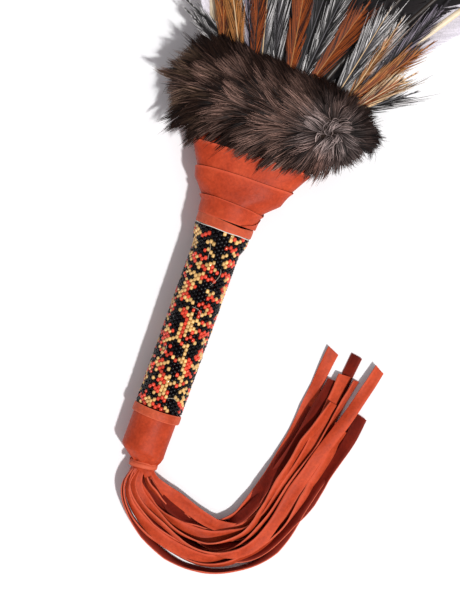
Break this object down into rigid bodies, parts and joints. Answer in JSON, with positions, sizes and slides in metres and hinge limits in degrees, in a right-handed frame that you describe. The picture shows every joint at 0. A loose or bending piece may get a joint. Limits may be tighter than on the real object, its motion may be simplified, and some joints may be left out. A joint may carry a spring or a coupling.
{
  "type": "feather fan",
  "caption": "Hand-held feather fan with a beaded, leather-wrapped handle, a flared leather head, a fur collar, fanned feathers and a leather strand fringe.",
  "frame": {"origin": "middle of the fan's outline, without the fringe's strands, on the surface it lies on", "axes": "+Y up the handle to the feather tips, +X to the right, +Z out of the fan's face"},
  "size_m": [0.2922, 0.5124, 0.0445],
  "materials": {
    "wood": "plain carved softwood, hidden inside",
    "leather": "smooth rust-red dyed garment leather, soft satin, with a darker suede flesh side",
    "beads": "opaque glossy seed beads, black with red-orange and gold ones",
    "fur": "dense dark brown fur with lighter guard hairs",
    "sinew": "waxed sinew thread",
    "white_feather": "pale feather vane with a cream quill",
    "black_feather": "black feather vane with a slight sheen",
    "grey_hackle": "grey and white hackle with loose barbs",
    "rust_hackle": "rust-orange glossy hackle",
    "tan_hackle": "tan and brown hackle with loose barbs"
  },
  "bodies": {
    "fan": {"beaded_sleeve": "beads", "feather_01": "white_feather", "feather_02": "black_feather", "feather_03": "black_feather", "feather_04": "black_feather", "feather_05": "black_feather", "feather_06": "black_feather", "feather_07": "black_feather", "feather_08": "black_feather", "feather_09": "black_feather", "feather_10": "black_feather", "feather_11": "white_feather", "fur_collar": "fur", "grip_sleeve": "leather", "hackle_01": "grey_hackle", "hackle_02": "rust_hackle", "hackle_03": "tan_hackle", "hackle_04": "grey_hackle", "hackle_05": "rust_hackle", "hackle_06": "tan_hackle", "hackle_07": "grey_hackle", "hackle_08": "rust_hackle", "hackle_09": "tan_hackle", "hackle_10": "grey_hackle", "hackle_11": "rust_hackle", "hackle_12": "tan_hackle", "hackle_13": "grey_hackle", "hackle_14": "rust_hackle", "hackle_15": "tan_hackle", "hackle_16": "grey_hackle", "hackle_17": "rust_hackle", "hackle_18": "tan_hackle", "handle_core": "wood", "handle_liner": "leather", "head_wrap": "leather", "lower_band": "leather", "neck_tie": "leather", "quill_binding": "sinew", "upper_band": "leather"},
    "fringe": {"fringe_root": "leather", "strand_01": "leather", "strand_02": "leather", "strand_03": "leather", "strand_04": "leather", "strand_05": "leather", "strand_06": "leather", "strand_07": "leather", "strand_08": "leather", "strand_09": "leather", "strand_10": "leather", "strand_11": "leather", "strand_12": "leather", "strand_13": "leather", "strand_14": "leather", "strand_15": "leather", "strand_16": "leather"}
  },
  "joints": [
    {"name": "fringe_swing", "type": "hinge", "parent": "fan", "child": "fringe", "pos_m": [-0.01481, -0.23504, 0.0112], "axis": [0, 0, 1], "range_deg": [-40, 20]}
  ]
}
